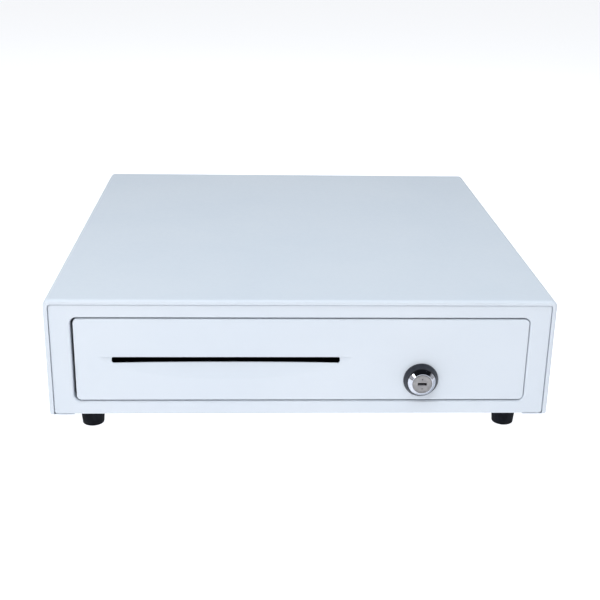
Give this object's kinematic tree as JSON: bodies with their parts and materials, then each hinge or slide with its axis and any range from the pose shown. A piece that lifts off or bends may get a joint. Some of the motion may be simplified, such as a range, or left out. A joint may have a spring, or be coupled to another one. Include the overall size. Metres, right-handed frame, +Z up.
{
  "type": "cash drawer",
  "caption": "White steel point-of-sale cash drawer on rubber feet: sliding drawer with finger scoop, media slot and cam lock, lift-out till with coin cups and note clips, solenoid latch.",
  "frame": {"origin": "middle of the ground face, under the centre of the bounding box", "axes": "+X to the user's right, +Y to the rear, +Z up; the drawer opens towards -Y"},
  "size_m": [0.41, 0.43, 0.1136],
  "materials": {
    "powder_coat": "fine white powder coat",
    "zinc_steel": "zinc-plated sheet steel",
    "rail_steel": "cold-rolled slide steel",
    "screw_steel": "nickel-plated screws and pins",
    "spring_steel": "spring steel wire",
    "rubber": "black rubber",
    "chrome": "polished chrome",
    "nickel": "satin nickel",
    "black_plastic": "black moulded plastic",
    "till_plastic": "textured black ABS",
    "coil": "varnished copper winding with tape",
    "clip_plastic": "black acetal"
  },
  "bodies": {
    "case": {"base_plate": "zinc_steel", "bezel_screws": "screw_steel", "bracket_rivets": "screw_steel", "cable_socket": "black_plastic", "cover_screws": "screw_steel", "foot_screws": "screw_steel", "front_bezel": "powder_coat", "kick_spring": "spring_steel", "latch_bracket": "zinc_steel", "latch_pivot": "screw_steel", "outer_rail_left": "rail_steel", "outer_rail_right": "rail_steel", "rail_bracket_left": "zinc_steel", "rail_bracket_right": "zinc_steel", "rail_stops": "rubber", "rear_panel": "powder_coat", "rubber_feet": "rubber", "solenoid_coil": "coil", "solenoid_frame": "zinc_steel", "spring_guide": "screw_steel", "switch_body": "black_plastic", "top_cover": "powder_coat"},
    "drawer": {"drawer_front": "powder_coat", "drawer_tray": "zinc_steel", "tray_rivets": "screw_steel", "inner_rail_left": "rail_steel", "inner_rail_right": "rail_steel", "media_chute": "zinc_steel", "striker": "zinc_steel", "till": "till_plastic", "clip_rod": "screw_steel", "clip_springs": "spring_steel", "lock_collar": "black_plastic", "lock_barrel": "chrome", "lock_nut": "nickel", "coin_cup_1": "till_plastic", "coin_cup_2": "till_plastic", "coin_cup_3": "till_plastic", "coin_cup_4": "till_plastic", "coin_cup_5": "till_plastic", "coin_cup_6": "till_plastic", "coin_cup_7": "till_plastic", "coin_cup_8": "till_plastic"},
    "ball_cage_left": {"ball_cage_left": "rail_steel", "rail_balls_left": "screw_steel"},
    "ball_cage_right": {"ball_cage_right": "rail_steel", "rail_balls_right": "screw_steel"},
    "lock_plug": {"lock_plug": "nickel", "lock_cam": "nickel", "cam_screw": "screw_steel"},
    "latch_hook": {"latch_hook": "zinc_steel"},
    "solenoid_plunger": {"solenoid_plunger": "screw_steel", "plunger_pin": "screw_steel"},
    "switch_lever": {"switch_lever": "zinc_steel"},
    "bill_clip_1": {"bill_clip_1": "clip_plastic"},
    "bill_clip_2": {"bill_clip_2": "clip_plastic"},
    "bill_clip_3": {"bill_clip_3": "clip_plastic"},
    "bill_clip_4": {"bill_clip_4": "clip_plastic"}
  },
  "joints": [
    {"name": "drawer_slide", "type": "slide", "parent": "case", "child": "drawer", "axis": [0, -1, 0], "range_m": [0, 0.265], "deforming": ["kick_spring"]},
    {"name": "ball_cage_left_slide", "type": "slide", "parent": "case", "child": "ball_cage_left", "axis": [0, -1, 0], "range_m": [0, 0.1325]},
    {"name": "ball_cage_right_slide", "type": "slide", "parent": "case", "child": "ball_cage_right", "axis": [0, -1, 0], "range_m": [0, 0.1325]},
    {"name": "lock_turn", "type": "hinge", "parent": "drawer", "child": "lock_plug", "pos_m": [0.09805, -0.2, 0.0445], "axis": [0, 1, 0], "range_deg": [-45, 90]},
    {"name": "latch_turn", "type": "hinge", "parent": "case", "child": "latch_hook", "pos_m": [0.014, 0.182, 0.0443], "axis": [0, 0, -1], "range_deg": [0, 18]},
    {"name": "plunger_slide", "type": "slide", "parent": "case", "child": "solenoid_plunger", "axis": [1, 0, 0], "range_m": [0, 0.0051]},
    {"name": "switch_lever_turn", "type": "hinge", "parent": "case", "child": "switch_lever", "pos_m": [0.0582, 0.1706, 0.0378], "axis": [0, 0, -1], "range_deg": [0, 5], "stiffness_Nm_per_rad": 0.01},
    {"name": "bill_clip_1_lift", "type": "hinge", "parent": "drawer", "child": "bill_clip_1", "pos_m": [-0.12735, 0.122, 0.0648], "axis": [-1, 0, 0], "range_deg": [0, 28], "stiffness_Nm_per_rad": 0.03, "springref_deg": -34.38},
    {"name": "bill_clip_2_lift", "type": "hinge", "parent": "drawer", "child": "bill_clip_2", "pos_m": [-0.04245, 0.122, 0.0648], "axis": [-1, 0, 0], "range_deg": [0, 28], "stiffness_Nm_per_rad": 0.03, "springref_deg": -34.38},
    {"name": "bill_clip_3_lift", "type": "hinge", "parent": "drawer", "child": "bill_clip_3", "pos_m": [0.04245, 0.122, 0.0648], "axis": [-1, 0, 0], "range_deg": [0, 28], "stiffness_Nm_per_rad": 0.03, "springref_deg": -34.38},
    {"name": "bill_clip_4_lift", "type": "hinge", "parent": "drawer", "child": "bill_clip_4", "pos_m": [0.12735, 0.122, 0.0648], "axis": [-1, 0, 0], "range_deg": [0, 28], "stiffness_Nm_per_rad": 0.03, "springref_deg": -34.38}
  ],
  "couplings": [
    {"joint": "ball_cage_left_slide", "follows": "drawer_slide", "ratio": 0.5},
    {"joint": "ball_cage_right_slide", "follows": "drawer_slide", "ratio": 0.5},
    {"joint": "plunger_slide", "follows": "latch_turn", "m_per_rad": 0.016}
  ]
}
